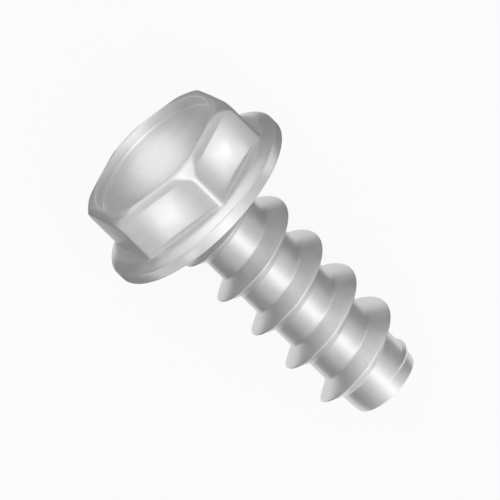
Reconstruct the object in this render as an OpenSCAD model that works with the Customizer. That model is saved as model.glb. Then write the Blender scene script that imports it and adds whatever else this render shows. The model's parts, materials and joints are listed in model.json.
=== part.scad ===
// Hex washer head self-tapping screw with a coarse right-hand thread and a blunt end.
// One solid: head, washer, shank and thread are formed from a single blank.
// Units are millimetres. The screw is modelled along its own axis, with the bearing
// face of the washer at height 0 and the tip upwards, and is then laid down the way it
// comes to rest: on the rim of the washer and on the thread near the tip.

/* [Head] */
// Width across the flats of the hexagon
across_flats = 7.94; // [7:0.02:9]
// Fillet radius of the six upright edges of the hexagon
hex_edge_r = 0.42; // [0.2:0.02:0.8]
// Height of the whole head above the bearing face
head_h = 3.45; // [3:0.05:5]
// Fillet radius along the top edge of each flat
flat_top_r = 0.35; // [0.2:0.05:0.5]
// Rounding radius of the head's rim at the corners of the hexagon
rim_r = 0.8; // [0.5:0.05:1]
// Diameter of the round recess in the top of the head
recess_d = 7.1; // [4:0.1:7.2]
// Depth of the recess
recess_depth = 0.5; // [0.2:0.05:1.2]
// Fillet radius round the floor of the recess
recess_floor_r = 0.15; // [0.05:0.05:0.2]

/* [Washer] */
// Diameter of the washer that is part of the head
washer_d = 10.3; // [9.7:0.1:12]
// Thickness of the washer at its rim
washer_rim_t = 0.56; // [0.4:0.02:0.8]
// Height of the washer where the hexagon stands on it
washer_h = 0.9; // [0.85:0.05:1.2]
// Rounding radius of the rim's two edges
washer_edge_r = 0.12; // [0.05:0.01:0.18]
// Depth of the relief under the washer, round the shank
relief_depth = 0.1; // [0.05:0.01:0.25]
// Gap from the thread's crest out to the edge of the relief
relief_gap = 0.12; // [0.05:0.01:0.3]

/* [Shank] */
// Length from the bearing face to the tip
shank_l = 13.25; // [12:0.05:30]
// Diameter of the shank at the root of the thread
root_d = 3.7; // [3.4:0.05:4]
// Length of the taper at the tip
tip_taper_l = 0.7; // [0.3:0.05:1.2]
// Diameter of the flat end
tip_d = 3.4; // [2.8:0.05:3.5]

/* [Thread] */
// Diameter over the crests
thread_d = 5.48; // [5.2:0.02:5.8]
// Distance from one crest to the next
pitch = 2.44; // [2:0.01:3]
// Width of the ridge where it meets the shank
ridge_w = 1.2; // [0.9:0.02:1.6]
// Width of the small land along the crest
crest_w = 0.08; // [0.04:0.01:0.2]
// Distance from the bearing face to the first full crest
thread_start = 2.36; // [2:0.02:4]
// Turns over which the ridge fades out under the head
run_out_turns = 0.85; // [0.4:0.05:0.95]
// Turns over which the ridge grows from nothing at the tip
run_in_turns = 0.75; // [0.5:0.05:1]
// Bare shank left between the end of the ridge and the tip
tip_clear = 0.4; // [0.2:0.05:1]
// Rings of points in one turn of the ridge
steps_per_turn = 48; // [24:4:64]

/* [Pose] */
// Angle from the side that lies uppermost to the nearest corner of the hexagon
corner_turn = 7.6; // [0:0.1:60]

/* [Hidden] */
$fn = 96;
CUT = 0.01;
apothem = across_flats / 2;
edge_axis_r = (apothem - hex_edge_r) / cos(30);
corner_r = edge_axis_r + hex_edge_r;
washer_r = washer_d / 2;
root_r = root_d / 2;
tip_r = tip_d / 2;
crest_r = thread_d / 2;
relief_r = crest_r + relief_gap;

// The blank and the washer's seat stand a little clear of the hexagon's corners
blank_clear = 0.02;
seat_clear = 0.06;
blank_r = corner_r + blank_clear;
seat_r = corner_r + seat_clear;
hex_foot_z = (relief_depth + washer_h) / 2;

// How deep the ridge's foot is sunk in the shank
ridge_sunk = 0.3;
ridge_inner_r = tip_r - ridge_sunk;
ridge_foot_r = root_r - ridge_sunk / 2;

// The ridge starts at the head and is full from turn 0, which lies on the ground side.
// Its lead is longer over the run-out and shorter over the run-in. The curves are powers
// that shape how it fades, and the least share leaves it a little height at its ends.
run_out_lead = 0.45;
run_in_lag = 0.5;
run_out_curve = 1.6;
run_out_ease = 0.9;
run_in_curve = 1.3;
least_share = 0.02;
ridge_end = shank_l - tip_clear;
full_turns = (ridge_end + run_in_lag - thread_start) / pitch - run_in_turns;
ridge_turns = run_out_turns + full_turns + run_in_turns;
ridge_steps = ceil(ridge_turns * steps_per_turn);

// How far a turn is into the run-out and into the run-in, from 0 to 1
function into_run_out(turn) = max(0, min(1, -turn / run_out_turns));
function into_run_in(turn) = max(0, min(1, (turn - full_turns) / run_in_turns));

// Share of the full height at a turn: both ends die away into the shank
function ridge_share(turn) = max(
    least_share,
    pow(1 - into_run_in(turn), run_in_curve)
        * pow(1 - pow(into_run_out(turn), run_out_curve), run_out_ease)
);

// Radius of the crest at a turn, and its place along the axis
function ridge_r(turn) = tip_r + (crest_r - tip_r) * ridge_share(turn);
function ridge_z(turn) = thread_start + pitch * turn
    + run_out_lead * pow(into_run_out(turn), 2)
    - run_in_lag * pow(into_run_in(turn), 3);

// One ring of points round the ridge: a V on the shank with its foot sunk in it
function ridge_ring(turn) =
    let (
        share = ridge_share(turn),
        top_r = ridge_r(turn),
        land = crest_w / 2 * share,
        slope = (ridge_w - crest_w) / 2 / (crest_r - root_r),
        foot = land + slope * (top_r - ridge_foot_r),
        z = ridge_z(turn),
        section = [
            [ridge_inner_r, -foot],
            [ridge_foot_r, -foot],
            [top_r, -land],
            [top_r, land],
            [ridge_foot_r, foot],
            [ridge_inner_r, foot]
        ]
    )
    [for (p = section) [p[0] * cos(360 * turn), p[0] * sin(360 * turn), z + p[1]]];

// At rest the screw leans on the lower edge of the washer's rim and on one more point: a
// crest on the ground side or the edge of the tip, whichever the smallest tilt reaches
rest_points = [
    [shank_l, tip_r],
    for (turn = [0 : floor(full_turns + run_in_turns)]) [ridge_z(turn), ridge_r(turn)]
];
rest_tilt = min([
    for (p = rest_points)
        let (along = p[0] - washer_edge_r, across = washer_r - washer_edge_r - p[1])
        atan(across / along) + asin(washer_edge_r / norm([along, across]))
]);
axis_h = washer_edge_r * (1 + sin(rest_tilt)) + (washer_r - washer_edge_r) * cos(rest_tilt);

// Half way between the two ends of the screw as it lies
head_end_x = -(head_h - rim_r) * cos(rest_tilt) - (blank_r - rim_r) * sin(rest_tilt) - rim_r;
tip_end_x = shank_l * cos(rest_tilt) + tip_r * sin(rest_tilt);
mid_x = (head_end_x + tip_end_x) / 2;

module ridge() {
    ring_size = len(ridge_ring(0));
    points = [
        for (i = [0 : ridge_steps])
            each ridge_ring(-run_out_turns + ridge_turns * i / ridge_steps)
    ];
    sides = [
        for (i = [0 : ridge_steps - 1], j = [0 : ring_size - 1])
            let (
                a = i * ring_size + j,
                b = i * ring_size + (j + 1) % ring_size
            )
            each [[a, b, b + ring_size], [a, b + ring_size, a + ring_size]]
    ];
    last = ridge_steps * ring_size;
    first_cap = [for (j = [ring_size - 1 : -1 : 0]) j];
    last_cap = [for (j = [0 : ring_size - 1]) last + j];
    polyhedron(points = points, faces = concat([first_cap], sides, [last_cap]));
}

// Shank with its tapered end, as a turned form
module shank() {
    rotate_extrude()
        polygon([
            [0, -relief_depth - CUT],
            [root_r, -relief_depth - CUT],
            [root_r, shank_l - tip_taper_l],
            [tip_r, shank_l],
            [0, shank_l]
        ]);
}

// Washer with a rounded rim, a sloping top and the shallow relief under it
module washer() {
    rim_x = washer_r - washer_edge_r;
    difference() {
        rotate_extrude() {
            polygon([
                [0, 0],
                [rim_x, 0],
                [rim_x, washer_rim_t],
                [seat_r, washer_h],
                [0, washer_h]
            ]);
            translate([rim_x, washer_edge_r])
                circle(r = washer_edge_r);
            translate([rim_x, washer_rim_t - washer_edge_r])
                circle(r = washer_edge_r);
            translate([rim_x - CUT, washer_edge_r])
                square([washer_edge_r + CUT, washer_rim_t - 2 * washer_edge_r]);
        }
        translate([0, 0, -CUT])
            cylinder(r = relief_r, h = relief_depth + CUT);
    }
}

// Outline of the hexagon with its six edges rounded
module hex_outline() {
    flat_w = 2 * (apothem - hex_edge_r) * tan(30);
    for (side = [0 : 2])
        rotate(60 * side)
            square([across_flats, flat_w], center = true);
    for (corner = [0 : 5])
        rotate(60 * corner + 30)
            translate([edge_axis_r, 0])
                circle(r = hex_edge_r);
}

// What is taken off along the top of one flat to leave a rounded edge
module flat_top_cut() {
    rotate([90, 0, 0])
        linear_extrude(height = 2 * across_flats, center = true)
            difference() {
                translate([apothem - flat_top_r, head_h - flat_top_r])
                    square(2 * flat_top_r);
                translate([apothem - flat_top_r, head_h - flat_top_r])
                    circle(r = flat_top_r);
            }
}

// The round blank that the hexagon is pressed from, with its rim rounded
module round_blank() {
    rotate_extrude() {
        square([blank_r, head_h - rim_r]);
        square([blank_r - rim_r, head_h]);
        translate([blank_r - rim_r, head_h - rim_r])
            circle(r = rim_r);
    }
}

// The recess in the top, with a fillet round its floor
module recess() {
    recess_r = recess_d / 2;
    rotate_extrude() {
        translate([0, head_h - recess_depth])
            square([recess_r - recess_floor_r, recess_depth + CUT]);
        translate([0, head_h - recess_depth + recess_floor_r])
            square([recess_r, recess_depth]);
        intersection() {
            translate([recess_r - recess_floor_r, head_h - recess_depth + recess_floor_r])
                circle(r = recess_floor_r);
            translate([0, head_h - recess_depth])
                square([recess_r, recess_depth]);
        }
    }
}

module hex_head() {
    difference() {
        intersection() {
            translate([0, 0, hex_foot_z])
                linear_extrude(height = head_h - hex_foot_z)
                    hex_outline();
            round_blank();
        }
        for (side = [0 : 5])
            rotate(60 * side)
                flat_top_cut();
        recess();
    }
}

// The whole screw along its own axis: the head below height 0, the tip above
module upright_screw() {
    rotate([180, 0, 0]) {
        rotate(corner_turn + 30)
            hex_head();
        washer();
    }
    shank();
    ridge();
}

module screw() {
    color("silver")
        translate([-mid_x, 0, axis_h])
            rotate([0, 90 + rest_tilt, 0])
                upright_screw();
}

screw();
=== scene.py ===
# %% [markdown]
# # A hex washer head self-tapping screw
#
# The screw is one piece of steel wire, pressed and rolled into shape: a hexagon with a round
# recess, a washer under it, a shank and a coarse right-hand thread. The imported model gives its
# size and the way it lies. This script builds a finer skin over it, as one closed mesh, gives it
# a zinc-plated finish, and sets up a pale table, grey cards, a soft light and a long lens above.

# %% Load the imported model
import json
import math

import bpy
import numpy as np
from mathutils import Matrix, Vector


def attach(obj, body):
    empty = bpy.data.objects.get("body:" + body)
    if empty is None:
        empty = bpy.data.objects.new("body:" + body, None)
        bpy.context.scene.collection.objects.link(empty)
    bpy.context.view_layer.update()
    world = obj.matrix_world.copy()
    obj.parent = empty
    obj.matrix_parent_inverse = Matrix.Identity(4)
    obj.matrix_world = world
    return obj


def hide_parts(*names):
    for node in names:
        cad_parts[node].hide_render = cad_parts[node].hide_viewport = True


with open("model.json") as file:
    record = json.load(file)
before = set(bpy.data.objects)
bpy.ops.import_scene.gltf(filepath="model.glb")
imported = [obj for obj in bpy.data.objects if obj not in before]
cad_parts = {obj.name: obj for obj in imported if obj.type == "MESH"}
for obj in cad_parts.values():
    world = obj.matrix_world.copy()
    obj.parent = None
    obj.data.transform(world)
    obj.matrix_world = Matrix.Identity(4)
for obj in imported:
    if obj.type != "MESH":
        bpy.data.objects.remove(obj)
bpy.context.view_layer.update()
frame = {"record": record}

# %% [markdown]
# ## The screw's own axis
#
# The screw lies on its washer and its thread, so its axis dips towards the tip. The record states
# the bearing face, which is the flat underside of the washer. Its centre and its direction are
# all that is needed to work in the screw's own frame: z runs from the bearing face to the tip, x
# points at the table and y to one side. The mesh is made in that frame, and one matrix lays it
# down.

# %% Frame of the screw
bearing = next(m for m in frame["record"]["mounts"] if m["name"] == "bearing_face")
to_tip = Vector(bearing["axis"]).normalized()
sideways = Vector((0, 1, 0))
to_table = sideways.cross(to_tip)
turned = Matrix((to_table, sideways, to_tip)).transposed().to_4x4()
LAID = Matrix.Translation(bearing["pos_m"]) @ turned
dip = math.degrees(math.asin(-to_tip.z))
print(f"the axis dips {dip:.1f} degrees, bearing face {1000 * bearing['pos_m'][2]:.2f} mm up")

# %% [markdown]
# ## Sizes
#
# These are the driving sizes of the real screw in millimetres. They are the ones that the packed
# model has, apart from three small forms. The washer's edge is a little crisper here, the shank
# narrows a little less at its very end, and the last faint part of the thread is lower and lies
# further back. The second cell holds what belongs to the skin alone: how far an edge is rounded
# where a steel die leaves no sharp corner.

# %% Driving sizes
MM = 0.001
APOTHEM = 7.94 / 2
HEX_EDGE_R = 0.42
HEAD_H = 3.45
WASHER_R = 10.3 / 2
WASHER_RIM_T = 0.56
WASHER_H = 0.9
WASHER_EDGE_R = 0.07
RELIEF_R = 2.86
RELIEF_DEPTH = 0.1
RECESS_R = 7.1 / 2
RECESS_DEPTH = 0.5
SHANK_L = 13.25
ROOT_R = 3.7 / 2
TIP_R = 3.56 / 2
TAPER_L = 0.7
CREST_R = 5.48 / 2
PITCH = 2.44
RIDGE_W = 1.2
THREAD_START = 2.36
RUN_OUT_TURNS, RUN_OUT_LEAD = 0.85, 0.45
RUN_IN_TURNS, RUN_IN_LAG = 0.75, 0.9
TIP_CLEAR = 0.8
CORNER_TURN = 7.6
FULL_TURNS = (SHANK_L - TIP_CLEAR + RUN_IN_LAG - THREAD_START) / PITCH - RUN_IN_TURNS
print(f"{FULL_TURNS:.2f} full turns of thread between the run-out and the run-in")

# %% Rounding that only the skin has
FLAT_CROWN = 0.03
FLAT_TOP_DROP, FLAT_TOP_IN = 0.35, 0.33
FLAT_TOP_LEAN, FLAT_TOP_SOFT = 0.12, 0.02
RIM_DROP, RIM_IN = 1.0, 0.78
SOFT_EDGE = 0.05
RECESS_FILLET, RECESS_LIP, RECESS_DISH = 0.1, 0.06, 0.05
WALL_FILLET, NECK_FILLET, FOOT_FILLET = 0.07, 0.08, 0.05
WASHER_KNEE = 0.08
CREST_LAND, CREST_ROUND = 0.05, 0.03
TIP_EDGE = 0.04
print(f"the flats are crowned by {FLAT_CROWN} mm, and the crest's land is {CREST_LAND} mm wide")

# %% [markdown]
# ## Columns
#
# Every ring of the mesh has the same columns, so that head, washer and thread join without a
# seam. A hexagon needs its columns where its flats end, and a thread doesn't mind where they
# are, so the hexagon chooses: each flat gets fine steps near its ends, where the rounded corners
# of the flats are, and each rounded edge between two flats gets a few steps of its own.

# %% Angles of the columns
SIXTH, HALF_SIXTH = math.pi / 3, math.pi / 6
EDGE_AXIS_R = (APOTHEM - HEX_EDGE_R) / math.cos(HALF_SIXTH)
CORNER_R = EDGE_AXIS_R + HEX_EDGE_R
FLAT_HALF = (APOTHEM - HEX_EDGE_R) * math.tan(HALF_SIXTH)
FINE_FROM = 1.3
END_COLUMNS, MIDDLE_COLUMNS, EDGE_COLUMNS = 12, 18, 9

along_flat = np.concatenate([
    np.linspace(-FLAT_HALF, -FINE_FROM, END_COLUMNS + 1)[:-1],
    np.linspace(-FINE_FROM, FINE_FROM, MIDDLE_COLUMNS + 1)[:-1],
    np.linspace(FINE_FROM, FLAT_HALF, END_COLUMNS + 1),
])
flat_angles = np.arctan2(along_flat, APOTHEM)
edge_angles = np.linspace(flat_angles[-1], SIXTH + flat_angles[0], EDGE_COLUMNS + 1)[1:-1]
side_angles = np.concatenate([flat_angles, edge_angles])
first_flat = math.radians(-CORNER_TURN - 30)
ANGLES = np.concatenate([first_flat + side * SIXTH + side_angles for side in range(6)])
COLUMNS = len(ANGLES)
print(COLUMNS, "columns in a ring")

# %% [markdown]
# ## The hexagon's wall
#
# The pressed head is a hexagon whose top edge is rounded along each flat, and whose corners are
# rounded much more, because the steel doesn't fill the corners of the die. Two shapes give the
# same result: a hexagon with rounded edges, and a turned form with a rounded rim. At each angle
# and depth the wall is where the nearer of the two is. A soft minimum joins them, which leaves a
# narrow rounded edge round each flat instead of a knife edge.

# %% Wall of the head
TINY = 1e-9


def soft_min(a, b, width):
    near = np.clip(1 - np.abs(a - b) / width, 0, 1)
    return np.minimum(a, b) - width * near * near / 4


def hexagon_reach(angle, apothem):
    """Distance from the axis to a hexagon with rounded edges, at angles from its first flat."""
    off_flat = (angle + HALF_SIXTH) % SIXTH - HALF_SIXTH
    off_corner = HALF_SIXTH - np.abs(off_flat)
    crown = FLAT_CROWN * (np.tan(off_flat) * APOTHEM / FLAT_HALF) ** 2
    flat = (apothem - np.minimum(crown, FLAT_CROWN)) / np.cos(off_flat)
    centre = (apothem - FLAT_CROWN - HEX_EDGE_R) / math.cos(HALF_SIXTH)
    inside = np.clip(HEX_EDGE_R**2 - (centre * np.sin(off_corner)) ** 2, 0, None)
    rounded = centre * np.cos(off_corner) + np.sqrt(inside)
    on_flat = np.abs(np.tan(off_flat)) * APOTHEM <= FLAT_HALF + TINY
    return np.where(on_flat, flat, rounded)


def quarter(depth, drop, inward):
    """How far a rounded top edge stands in at a depth below the top."""
    rise = np.clip(1 - depth / drop, 0, 1)
    return inward * (1 - np.sqrt(1 - rise * rise))


def eased_top(depth):
    """The rounding along a flat: it meets the flat at a slight angle, in a narrow soft edge."""
    rounded = quarter(depth, FLAT_TOP_DROP, FLAT_TOP_IN - FLAT_TOP_LEAN)
    leaning = FLAT_TOP_LEAN * (1 - depth / FLAT_TOP_DROP)
    return -soft_min(-rounded - leaning, np.zeros(1), FLAT_TOP_SOFT)[0]


def wall_reach(depth):
    hexagon = hexagon_reach(ANGLES - first_flat, APOTHEM - eased_top(depth))
    rim = CORNER_R - quarter(depth, RIM_DROP, RIM_IN)
    return soft_min(hexagon, np.full(COLUMNS, rim), SOFT_EDGE)


print("reach at the top:", wall_reach(0).min().round(2), "to", wall_reach(0).max().round(2), "mm")

# %% [markdown]
# ## Rings of the head and washer
#
# The head is built as a stack of rings, from the middle of the recess outwards, down the wall,
# over the washer's top, round its rim, and back in along the underside to the shank. A ring is
# a pair: its distance from the axis, which may differ from column to column, and its height. The
# tip is up in this frame, so the head has negative heights.

# %% Rings of the recess and the top
def arc(count):
    return [math.pi / 2 * i / count for i in range(count + 1)]


rings = []


def ring(reach, z):
    rings.append((np.broadcast_to(np.asarray(reach, float), COLUMNS), z))


top_z = -HEAD_H
floor_z = top_z + RECESS_DEPTH
FLOOR_EDGE_R = RECESS_R - RECESS_FILLET
FIRST_SHARE = 0.06
FLOOR_RINGS, FILLET_STEPS, LIP_STEPS = 12, 5, 3
for share in np.linspace(FIRST_SHARE, 1, FLOOR_RINGS + 1)[:-1]:
    ring(FLOOR_EDGE_R * share, floor_z + RECESS_DISH * (1 - share**2))
for a in arc(FILLET_STEPS):
    ring(FLOOR_EDGE_R + RECESS_FILLET * math.sin(a), floor_z - RECESS_FILLET * (1 - math.cos(a)))
ring(RECESS_R, (floor_z + top_z) / 2)
for a in arc(LIP_STEPS):
    ring(RECESS_R + RECESS_LIP * (1 - math.cos(a)), top_z + RECESS_LIP * (1 - math.sin(a)))
lip_r = RECESS_R + RECESS_LIP
rim_r = wall_reach(0)
ring(lip_r + (rim_r - lip_r) / 2, top_z)
print(len(rings), "rings down to the edge of the top")

# %% The wall, with more rings where it turns
foot_depth = HEAD_H - WASHER_H
MEETING_FROM, MEETING_TO = 0.74, 1.2
CORNER_STEP, PAST_RIM = 0.034, 0.15
ROUNDING_STEPS, ROUNDING_RINGS = 10, 8
MEETING_RINGS, STRAIGHT_RINGS = 12, 8
SMALL_ARC = 4
rounding = [FLAT_TOP_DROP * (1 - math.cos(a)) for a in arc(ROUNDING_STEPS)[:ROUNDING_RINGS]]
meeting = list(np.linspace(MEETING_FROM, MEETING_TO, MEETING_RINGS) * FLAT_TOP_DROP)
corners = list(np.arange(meeting[-1], RIM_DROP + PAST_RIM, CORNER_STEP))
straight = list(np.linspace(corners[-1], foot_depth - WALL_FILLET, STRAIGHT_RINGS))
for depth in rounding + meeting + corners[1:] + straight[1:]:
    ring(wall_reach(depth), top_z + depth)
foot_r = wall_reach(foot_depth)
for a in arc(SMALL_ARC)[1:]:
    rise = WALL_FILLET * (1 - math.sin(a))
    ring(foot_r + WALL_FILLET * (1 - math.cos(a)), top_z + foot_depth - rise)
print(len(rings), "rings down to the washer")

# %% Slope of the washer
SEAT_CLEAR = 0.06
SEAT_R = CORNER_R + SEAT_CLEAR
rim_x = WASHER_R - WASHER_EDGE_R
slope = (WASHER_H - WASHER_RIM_T) / (rim_x - SEAT_R)


def washer_top(reach):
    """Height of the washer's top: level at the hexagon, then sloping after a soft knee."""
    past = np.asarray(reach, float) - SEAT_R
    soft = WASHER_KNEE * np.log1p(np.exp(past / WASHER_KNEE))
    return WASHER_H - slope * soft


rim_top = float(washer_top(rim_x))
print(f"the washer's top falls to {rim_top:.2f} mm above the bearing face at its rim")

# %% The washer's top
SEAT_RINGS, SLOPE_RINGS = 6, 8
start_r = foot_r + WALL_FILLET
for share in np.linspace(0, 1, SEAT_RINGS + 1)[1:]:
    reach = start_r + (SEAT_R - start_r) * share
    rings.append((reach, -washer_top(reach)))
for reach in np.linspace(SEAT_R, rim_x, SLOPE_RINGS + 1)[1:]:
    rings.append((np.full(COLUMNS, reach), -np.full(COLUMNS, washer_top(reach))))
print(len(rings), "rings down to the washer's rim")

# %% The washer's rim and underside
RIM_ARC, UNDER_RINGS, RELIEF_RINGS = 6, 8, 4
for a in arc(RIM_ARC)[1:]:
    ring(rim_x + WASHER_EDGE_R * math.sin(a), -rim_top + WASHER_EDGE_R * (1 - math.cos(a)))
for a in arc(RIM_ARC):
    ring(rim_x + WASHER_EDGE_R * math.cos(a), -WASHER_EDGE_R * (1 - math.sin(a)))
for reach in np.linspace(rim_x, RELIEF_R, UNDER_RINGS + 1)[1:]:
    ring(reach, 0)
ring(RELIEF_R, -RELIEF_DEPTH)
for reach in np.linspace(RELIEF_R, ROOT_R + NECK_FILLET, RELIEF_RINGS + 1)[1:]:
    ring(reach, -RELIEF_DEPTH)
for a in arc(SMALL_ARC)[1:]:
    inward, up = 1 - math.sin(a), 1 - math.cos(a)
    ring(ROOT_R + NECK_FILLET * inward, -RELIEF_DEPTH + NECK_FILLET * up)
THREAD_FROM = -RELIEF_DEPTH + NECK_FILLET
print(len(rings), "rings in the head and washer")

# %% [markdown]
# ## The thread
#
# A rolled thread is a ridge that winds round the shank. One long strip follows it: the strip is
# one pitch wide, with half a root on each side of the ridge, and the far edge of one turn is the
# near edge of the next. Where the strip would pass the neck or the tip it is pressed flat against
# that ring, and the faces that then have no area are merged away. So the mesh lines follow the
# helix, the crest stays crisp, and the shank still ends in true circles.
#
# At both ends the ridge dies away into the shank, as it does on the real screw: under the washer
# because the rolling dies stop there, and at the tip so that the first turn bites gently.

# %% Shape of the ridge
RUN_OUT_CURVE, RUN_OUT_EASE = 1.6, 0.9
RUN_IN_CURVE = 1.8
LOW_SHARE, LOW_CURVE = 0.07, 0.4
FADED_W = 0.05
TAPER_CURVE = 2
RIDGE_H = CREST_R - ROOT_R


def into_run_out(turn):
    return np.clip(-turn / RUN_OUT_TURNS, 0, 1)


def into_run_in(turn):
    return np.clip((turn - FULL_TURNS) / RUN_IN_TURNS, 0, 1)


def run_out_share(turn):
    return (1 - into_run_out(turn) ** RUN_OUT_CURVE) ** RUN_OUT_EASE


def run_in_share(turn):
    """Full height falls away first, and a low ridge runs on to the end."""
    left = 1 - into_run_in(turn)
    return (1 - LOW_SHARE) * left**RUN_IN_CURVE + LOW_SHARE * left**LOW_CURVE


def ridge_share(turn):
    """Share of the full height: both ends die away into the shank."""
    return run_in_share(turn) * run_out_share(turn)


def width_share(turn):
    """Share of the full width: at the tip the ridge grows low before it grows narrow."""
    spread = (1 - into_run_in(turn)) * run_out_share(turn)
    return FADED_W + (1 - FADED_W) * spread


def ridge_z(turn):
    lead = RUN_OUT_LEAD * into_run_out(turn) ** 2
    return THREAD_START + PITCH * turn + lead - RUN_IN_LAG * into_run_in(turn) ** 3


def shank_r(z):
    into = np.clip((z - (SHANK_L - TAPER_L)) / TAPER_L, 0, 1)
    return ROOT_R - (ROOT_R - TIP_R) * into**TAPER_CURVE


full_r = float(shank_r(THREAD_START) + RIDGE_H * ridge_share(0))
print(f"{2 * full_r:.2f} mm over the crest where the ridge is full")

# %% Section of the ridge
CREST_SHARES = (0.35, 0.7, 1)
FLANK_SHARES = (0.35, 0.7)
FOOT_SHARES = (0, 0.25, 0.5, 0.75, 1)


def ridge_section(turn):
    """Offsets along the axis and heights over the root, from the head side to the tip side."""
    height = RIDGE_H * ridge_share(turn)
    faded = width_share(turn)
    land, foot = CREST_LAND / 2 * faded, RIDGE_W / 2 * faded
    slope = height / (foot - land)
    crest, fillet = CREST_ROUND * faded, FOOT_FILLET * faded
    half = []
    for t in CREST_SHARES:
        along = 2 * t * (1 - t) * land + t * t * (land + crest)
        half.append((along, height - slope * crest * t * t))
    for part in FLANK_SHARES:
        along = land + crest + (foot - fillet - land - crest) * part
        half.append((along, slope * (foot - along)))
    for t in FOOT_SHARES:
        half.append((foot + fillet * (2 * t - 1), slope * fillet * (1 - t) ** 2))
    return [(-along, up) for along, up in reversed(half)] + half


full_section = ridge_section(np.zeros(1))
print(len(full_section), "points across the ridge, which is", round(RIDGE_H, 2), "mm high")

# %% Turns of the thread
turns_back = math.ceil((THREAD_START + PITCH) / PITCH) + 1
turns_on = math.ceil(FULL_TURNS + RUN_IN_TURNS) + 2
one_turn = (ANGLES - ANGLES[0]) / (2 * math.pi)
turn_list = np.concatenate([k + one_turn for k in range(-turns_back, turns_on)])
turn_list = turn_list + ANGLES[0] / (2 * math.pi)
before = (ridge_z(turn_list - 1) + ridge_z(turn_list)) / 2
after = (ridge_z(turn_list) + ridge_z(turn_list + 1)) / 2
middle = ridge_z(turn_list)
print(len(turn_list), "steps from turn", -turns_back, "to turn", turns_on)

# %% The strip of thread
THREAD_TO = SHANK_L - TIP_EDGE
ROOT_STEPS = 4
section = ridge_section(turn_list)
left_foot = middle + section[0][0]
right_foot = middle + section[-1][0]
strip_z, strip_up = [], []
for step in range(ROOT_STEPS):
    strip_z.append(before + (left_foot - before) * step / ROOT_STEPS)
    strip_up.append(np.zeros_like(middle))
for along, up in section:
    strip_z.append(middle + along)
    strip_up.append(up)
for step in range(1, ROOT_STEPS + 1):
    strip_z.append(right_foot + (after - right_foot) * step / ROOT_STEPS)
    strip_up.append(np.zeros_like(middle))
strip_z = np.clip(np.array(strip_z), THREAD_FROM, THREAD_TO)
strip_r = shank_r(strip_z) + np.array(strip_up)
strip_angle = 2 * math.pi * turn_list
print(strip_z.shape[0], "lines along the strip,", strip_z.shape[1], "steps")

# %% [markdown]
# ## One closed mesh
#
# The rings and the strip become faces, the tip gets its own few rings and a flat end, and one
# merge by distance joins everything: the strip to itself from turn to turn, to the neck and to
# the tip. The printed check says that no edge is left open.

# %% Tip rings
END_SHARES = (0.8, 0.55, 0.3, 0.1)
tip_rings = []
end_r = float(shank_r(THREAD_TO))
for a in arc(SMALL_ARC)[1:]:
    tip_rings.append((end_r - TIP_EDGE * (1 - math.cos(a)), THREAD_TO + TIP_EDGE * math.sin(a)))
for share in END_SHARES:
    tip_rings.append(((end_r - TIP_EDGE) * share, SHANK_L))
print(f"the flat end is {2 * (end_r - TIP_EDGE):.2f} mm wide")

# %% Rings into faces
vertices, faces = [], []


def add_ring(reach, z):
    z = np.broadcast_to(np.asarray(z, float), COLUMNS)
    reach = np.broadcast_to(np.asarray(reach, float), COLUMNS)
    start = len(vertices)
    vertices.extend(zip(reach * np.cos(ANGLES), reach * np.sin(ANGLES), z))
    return start


def join_rings(lower, upper):
    for j in range(COLUMNS):
        k = (j + 1) % COLUMNS
        faces.append((lower + j, lower + k, upper + k, upper + j))


def close_ring(start, z, upwards):
    vertices.append((0, 0, z))
    middle_point = len(vertices) - 1
    for j in range(COLUMNS):
        k = (j + 1) % COLUMNS
        pair = (start + j, start + k) if upwards else (start + k, start + j)
        faces.append((*pair, middle_point))


print("a ring has", COLUMNS, "points, and two rings make as many faces")

# %% Faces of the head
starts = [add_ring(reach, z) for reach, z in rings]
for lower, upper in zip(starts, starts[1:]):
    join_rings(lower, upper)
close_ring(starts[0], floor_z + RECESS_DISH, False)
print(len(faces), "faces in the head and washer")

# %% Faces of the thread and the tip
lines, steps = strip_z.shape
strip_start = len(vertices)
strip_x, strip_y = strip_r * np.cos(strip_angle), strip_r * np.sin(strip_angle)
strip_points = np.stack([strip_x, strip_y, strip_z], axis=2)
vertices.extend(map(tuple, strip_points.reshape(-1, 3)))
for line in range(lines - 1):
    for step in range(steps - 1):
        a = strip_start + line * steps + step
        faces.append((a, a + 1, a + 1 + steps, a + steps))

tip_starts = [add_ring(end_r, THREAD_TO)] + [add_ring(reach, z) for reach, z in tip_rings]
for lower, upper in zip(tip_starts, tip_starts[1:]):
    join_rings(lower, upper)
close_ring(tip_starts[-1], SHANK_L, True)
print(len(vertices), "points and", len(faces), "faces before the merge")

# %% Merge into one closed skin
import bmesh

SAME_POINT = 0.00001 * MM
SHARP_FROM = math.radians(38)
data = bpy.data.meshes.new("screw_skin")
data.from_pydata([tuple(MM * value for value in point) for point in vertices], [], faces)
work = bmesh.new()
work.from_mesh(data)
bmesh.ops.remove_doubles(work, verts=work.verts, dist=SAME_POINT)
bmesh.ops.recalc_face_normals(work, faces=work.faces)
open_edges = sum(1 for edge in work.edges if len(edge.link_faces) != 2)
work.to_mesh(data)
work.free()
for polygon in data.polygons:
    polygon.use_smooth = True
data.set_sharp_from_angle(angle=SHARP_FROM)
data.transform(LAID)
screw = bpy.data.objects.new("hex_washer_screw", data)
bpy.context.scene.collection.objects.link(screw)
triangles = sum(len(polygon.vertices) - 2 for polygon in data.polygons)
print(triangles, "triangles,", open_edges, "edges not shared by two faces")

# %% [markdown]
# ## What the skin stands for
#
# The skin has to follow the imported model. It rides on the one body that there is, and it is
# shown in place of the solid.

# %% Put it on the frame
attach(screw, "root")
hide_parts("screw")
print(screw.name, "rides on root and stands for the packed screw")

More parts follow.
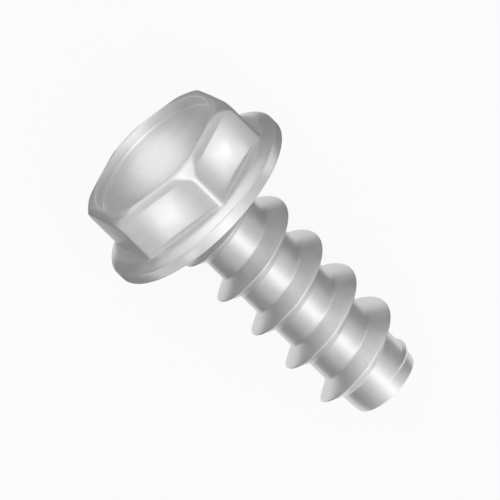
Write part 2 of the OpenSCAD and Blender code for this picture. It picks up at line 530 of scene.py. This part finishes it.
# %% [markdown]
# ## Writing a finish as sums
#
# A shader is a graph of nodes, which is slow to read when each link is a line of its own. This
# small class wraps a socket, so that an expression such as 1 - mask makes the Math node for it.
# A second class holds the graph: it adds any other node from its type, its settings and what
# goes into its sockets.

# %% Socket arithmetic
class Value:
    def __init__(self, graph, socket):
        self.graph = graph
        self.socket = socket

    def math(self, operation, other=None, swapped=False):
        pair = (other, self) if swapped else (self, other)
        inputs = {i: item for i, item in enumerate(pair) if item is not None}
        return self.graph.add("Math", {"operation": operation}, inputs)

    def __add__(self, other):
        return self.math("ADD", other)

    def __sub__(self, other):
        return self.math("SUBTRACT", other)

    def __mul__(self, other):
        return self.math("MULTIPLY", other)

    def __pow__(self, other):
        return self.math("POWER", other)

    def __rsub__(self, other):
        return self.math("SUBTRACT", other, swapped=True)

    def __rpow__(self, other):
        return self.math("POWER", other, swapped=True)

    __radd__ = __add__
    __rmul__ = __mul__


class Graph:
    def __init__(self, owner, ending):
        owner.use_nodes = True
        self.tree = owner.node_tree
        self.tree.nodes.clear()
        self.ending = self.tree.nodes.new(ending)

    def add(self, kind, settings=None, inputs=None, output=0):
        """Adds a node of any type: its settings first, then the values or links of its sockets."""
        node = self.tree.nodes.new("ShaderNode" + kind)
        for name, value in (settings or {}).items():
            setattr(node, name, value)
        for name, value in (inputs or {}).items():
            if isinstance(value, Value):
                self.tree.links.new(value.socket, node.inputs[name])
            else:
                node.inputs[name].default_value = value
        return Value(self, node.outputs[output])

    def finish(self, surface):
        """Links the last value to the output, and says how many nodes there are."""
        self.tree.links.new(surface.socket, self.ending.inputs["Surface"])
        return len(self.tree.nodes)


print("ready to write finishes as sums")

# %% [markdown]
# ## Bright zinc on rolled steel
#
# The screw is zinc-plated steel: a light, neutral metal that is smooth but not a mirror. Three
# things give it its look close up. Turning and rolling leave fine rings round the axis, which a
# noise along one line makes: its input is the distance from the axis plus the distance along it,
# so that it doesn't change round the screw. The plating varies slightly in colour and in how dull
# it is, which a second noise makes. A third noise, much finer, adds grain to the relief of the
# rings. A picture of metal could be wrapped on instead, but it would show a seam. All three are
# measured in the screw's own frame, so they turn with the screw.

# %% Zinc plating
zinc = bpy.data.materials.new("bright_zinc")
coat = Graph(zinc, "ShaderNodeOutputMaterial")
in_scene = coat.add("TexCoord", output="Object")
place = coat.add(
    "Mapping", {"vector_type": "TEXTURE"},
    {"Vector": in_scene, "Location": LAID.translation, "Rotation": LAID.to_euler()})
x_part, y_part, z_part = (coat.add("SeparateXYZ", inputs={0: place}, output=i) for i in range(3))
reach = (x_part * x_part + y_part * y_part) ** 0.5
across_rings = (reach + z_part) * (1 / MM)
print("the finish is measured from", [round(1000 * value, 2) for value in LAID.translation], "mm")

# %% What the plating varies by: rings, mottle and grain
RINGS_PER_MM, MOTTLE_PER_M, GRAIN_PER_M = 22.0, 1400.0, 9000.0
fine_rings = coat.add(
    "TexNoise", {"noise_dimensions": "1D"},
    {"W": across_rings, "Scale": RINGS_PER_MM, "Detail": 2.0, "Roughness": 0.6})
mottle = coat.add(
    "TexNoise", inputs={"Vector": place, "Scale": MOTTLE_PER_M, "Detail": 3.0, "Roughness": 0.55})
grain = coat.add(
    "TexNoise", inputs={"Vector": place, "Scale": GRAIN_PER_M, "Detail": 2.0, "Roughness": 0.5})
print(f"a patch of the mottle is about {1000 / MOTTLE_PER_M:.1f} mm wide")

# %% Colour, relief and shine
DULL_GREY = (0.69, 0.69, 0.70, 1)
LIGHT_GREY = (0.82, 0.82, 0.825, 1)
colour = coat.add("Mix", {"data_type": "RGBA"}, {0: mottle, 6: DULL_GREY, 7: LIGHT_GREY}, output=2)
RINGS_SHARE = 0.6
RELIEF_H, RELIEF_STRENGTH = 0.01 * MM, 0.13
SMOOTHEST, DULLING = 0.31, 0.14
relief = fine_rings * RINGS_SHARE + grain * (1 - RINGS_SHARE)
bumps = coat.add(
    "Bump", inputs={"Strength": RELIEF_STRENGTH, "Distance": RELIEF_H, "Height": relief})
metal = coat.add("BsdfPrincipled", inputs={
    "Base Color": colour, "Metallic": 0.78, "Roughness": SMOOTHEST + mottle * DULLING,
    "Normal": bumps})
print("zinc plating:", coat.finish(metal), "nodes")
screw.data.materials.append(zinc)

# %% [markdown]
# ## Camera
#
# The screw is seen from above, a little from the head's side, so that the recess shows. Its axis
# runs from the upper left of the picture to the lower right. A long lens from far away keeps the
# six sides and the turns of thread nearly parallel, as in a drawing.

# %% Directions of the picture
VIEW_TILT = math.radians(22)
PICTURE_TURN = math.radians(44.5)
from_axis = to_tip.cross(sideways)
back = from_axis * math.cos(VIEW_TILT) - to_tip * math.sin(VIEW_TILT)
along = (to_tip + back * math.sin(VIEW_TILT)) / math.cos(VIEW_TILT)
across = back.cross(along)
right = along * math.cos(PICTURE_TURN) + across * math.sin(PICTURE_TURN)
up = back.cross(right)
print("the camera looks along", [round(-value, 2) for value in back])

# %% Camera
PIXEL = 0.0472 * MM
IMAGE_PIXELS = 500
AIM_ALONG = 3.52 * MM
LENS, SENSOR = 1000, 36
NEAREST, FARTHEST = 0.01, 10
aim = LAID @ Vector((0, 0, AIM_ALONG))
distance = IMAGE_PIXELS * PIXEL * LENS / SENSOR
camera_data = bpy.data.cameras.new("camera")
camera_data.lens, camera_data.sensor_width = LENS, SENSOR
camera_data.clip_start, camera_data.clip_end = NEAREST, FARTHEST
camera = bpy.data.objects.new("camera", camera_data)
bpy.context.scene.collection.objects.link(camera)
bpy.context.scene.camera = camera
facing = Matrix((right, up, back)).transposed().to_4x4()
camera.matrix_world = Matrix.Translation(aim + back * distance) @ facing
print(f"camera {1000 * distance:.0f} mm away")

# %% [markdown]
# ## Table and light
#
# The table is plain and pale. Rays from the camera, and those reflected in the metal, see it a
# little whiter than it is, and all other light sees plain paint, so the screw's shadow stays.

# %% Table
TABLE_HALF = 0.6
table_mesh = bpy.data.meshes.new("table")
table_mesh.from_pydata(
    [(-TABLE_HALF, -TABLE_HALF, 0), (TABLE_HALF, -TABLE_HALF, 0),
     (TABLE_HALF, TABLE_HALF, 0), (-TABLE_HALF, TABLE_HALF, 0)], [], [(0, 1, 2, 3)])
table = bpy.data.objects.new("table", table_mesh)
bpy.context.scene.collection.objects.link(table)
print(f"table {2 * TABLE_HALF:.1f} m square")

# %% White paint
WHITENED = 0.92
WHITE, PAINT = (1, 1, 1, 1), (0.6, 0.6, 0.6, 1)
paint = bpy.data.materials.new("white_paint")
cover = Graph(paint, "ShaderNodeOutputMaterial")
seen = cover.add("LightPath", output="Is Camera Ray")
for kind in ("Glossy", "Transmission"):
    seen = seen.math("MAXIMUM", cover.add("LightPath", output=f"Is {kind} Ray"))
plain = cover.add("BsdfDiffuse", inputs={"Color": PAINT})
white = cover.add("Emission", inputs={"Color": WHITE, "Strength": 1.0})
mixed = cover.add("MixShader", inputs={0: seen * WHITENED, 1: plain, 2: white})
print("white paint:", cover.finish(mixed), "nodes")
table_mesh.materials.append(paint)

# %% [markdown]
# White paper all round makes metal look flat: both sides of a round bar then reflect the table
# and turn as pale as its top. Photographers stand a grey card on each side of such an object,
# just out of the picture. Each card here leans away from the screw, and has a flap that lies in
# front of the head. Between the two flaps is a gap, which the top of the head reflects as a
# white band. Only reflections see the cards, so the table around the screw stays white.

# %% Grey cards
CARD_FOOT, CARD_LEAN, CARD_H = 6.0 * MM, 2.5 * MM, 7.0 * MM
CARD_FROM, CARD_TO = -20 * MM, 14 * MM
FLAP_TO, FLAP_GAP, FLAP_Z = -7.5 * MM, 1.2 * MM, 0.05 * MM
CARD_GREY = 0.3
dull = bpy.data.materials.new("grey_card")
board = Graph(dull, "ShaderNodeOutputMaterial")
grey = board.add("BsdfDiffuse", inputs={"Color": (CARD_GREY, CARD_GREY, CARD_GREY, 1)})
print("grey card:", board.finish(grey), "nodes")
for name, side in (("left_card", -1), ("right_card", 1)):
    inner, foot, top = side * FLAP_GAP, side * CARD_FOOT, side * (CARD_FOOT + CARD_LEAN)
    card_corners = [
        (CARD_FROM, foot, FLAP_Z), (CARD_TO, foot, FLAP_Z),
        (CARD_TO, top, CARD_H), (CARD_FROM, top, CARD_H)]
    flap_corners = [(CARD_FROM, inner, FLAP_Z), (FLAP_TO, inner, FLAP_Z), (FLAP_TO, foot, FLAP_Z)]
    sheet = bpy.data.meshes.new(name)
    sheet.from_pydata(card_corners + flap_corners, [], [(0, 1, 2, 3), (0, 4, 5, 6)])
    sheet.materials.append(dull)
    card = bpy.data.objects.new(name, sheet)
    bpy.context.scene.collection.objects.link(card)
    card.visible_camera = False
    card.visible_diffuse = False
    card.visible_shadow = False
    print(name, "stands", round(1000 * abs(foot)), "mm from the middle")

# %% [markdown]
# The light is a long soft strip overhead, in line with the screw, in a dim grey room. On a round
# bar such a strip gives one white band along the top that falls off to grey on both sides. The
# world's shader makes it from the direction alone: brightest where a direction has no sideways
# part, and plain grey towards both sides.

# %% Strip light and room
ROOM = 0.5
STRIP = 1.55
NARROWING = 3
world = bpy.data.worlds.new("studio")
bpy.context.scene.world = world
studio = Graph(world, "ShaderNodeOutputWorld")
direction = studio.add("TexCoord", output="Generated")
aside = studio.add("SeparateXYZ", inputs={0: direction}, output="Y").math("ABSOLUTE")
brightness = ROOM + STRIP * (1 - aside) ** NARROWING
studio.finish(studio.add("Background", inputs={"Color": WHITE, "Strength": brightness}))
print(f"the sky is {ROOM + STRIP:.2f} along the strip and {ROOM:.2f} at the sides")

# %% [markdown]
# A flat face shows one even grey under a wide soft light, so the head gets a few small lamps of
# its own. Each is a narrow beam with a soft edge: it is brightest where it is aimed, and fades
# all round. Each near side of the hexagon has two, which stand where that side reflects them to
# the camera. One is aimed low and one high, so that they run together into a white band along
# the screw, with grey on both sides. The last lamp lights the top of the head.

# %% Lamps for the faces of the head
LAMP_AWAY = 0.1
LAMP_R = 0.5 * MM
TOP_BEAM_R = 2.8 * MM
SIDE_BEAM_R = 1.4 * MM
BAND_HALF = 0.7 * MM
TOP_POWER = 0.44
LEFT_POWER, RIGHT_POWER = 0.013, 0.0125
TOP_LAMP_RISE = math.radians(30)


def beam(name, target, away, beam_r, power):
    """A round lamp far off in one direction, with a soft-edged beam on a target."""
    data = bpy.data.lights.new(name, "SPOT")
    data.energy = power
    data.shadow_soft_size = LAMP_R
    data.spot_size = 2 * math.atan(beam_r / LAMP_AWAY)
    data.spot_blend = 1.0
    lamp = bpy.data.objects.new(name, data)
    bpy.context.scene.collection.objects.link(lamp)
    lamp.location = target + away * LAMP_AWAY
    lamp.rotation_mode = "QUATERNION"
    lamp.rotation_quaternion = away.to_track_quat("Z", "Y")
    print(name, "stands at", [round(1000 * value) for value in lamp.location], "mm")


print(f"each lamp is {1000 * LAMP_AWAY:.0f} mm from what it lights")

# %% Aim the lamps
for name, side_angle, power in (("left_side", 30, LEFT_POWER), ("right_side", -30, RIGHT_POWER)):
    normal = Matrix.Rotation(math.radians(side_angle - CORNER_TURN), 3, to_tip) @ from_axis
    mirrored = 2 * normal.dot(back) * normal - back
    half_way_up = LAID @ Vector((0, 0, -(HEAD_H + WASHER_H) / 2 * MM))
    middle = half_way_up + normal * APOTHEM * MM
    for end, shift in (("_low", BAND_HALF), ("_high", -BAND_HALF)):
        beam(name + end, middle + to_tip * shift, mirrored, SIDE_BEAM_R, power)
rise = from_axis * math.sin(TOP_LAMP_RISE) - to_tip * math.cos(TOP_LAMP_RISE)
beam("top_of_head", LAID @ Vector((0, 0, -HEAD_H * MM)), rise, TOP_BEAM_R, TOP_POWER)

# %% [markdown]
# ## View
#
# The standard view shows each colour as it is written.

# %% Plain view
bpy.context.scene.view_settings.view_transform = "Standard"
print("view transform:", bpy.context.scene.view_settings.view_transform)
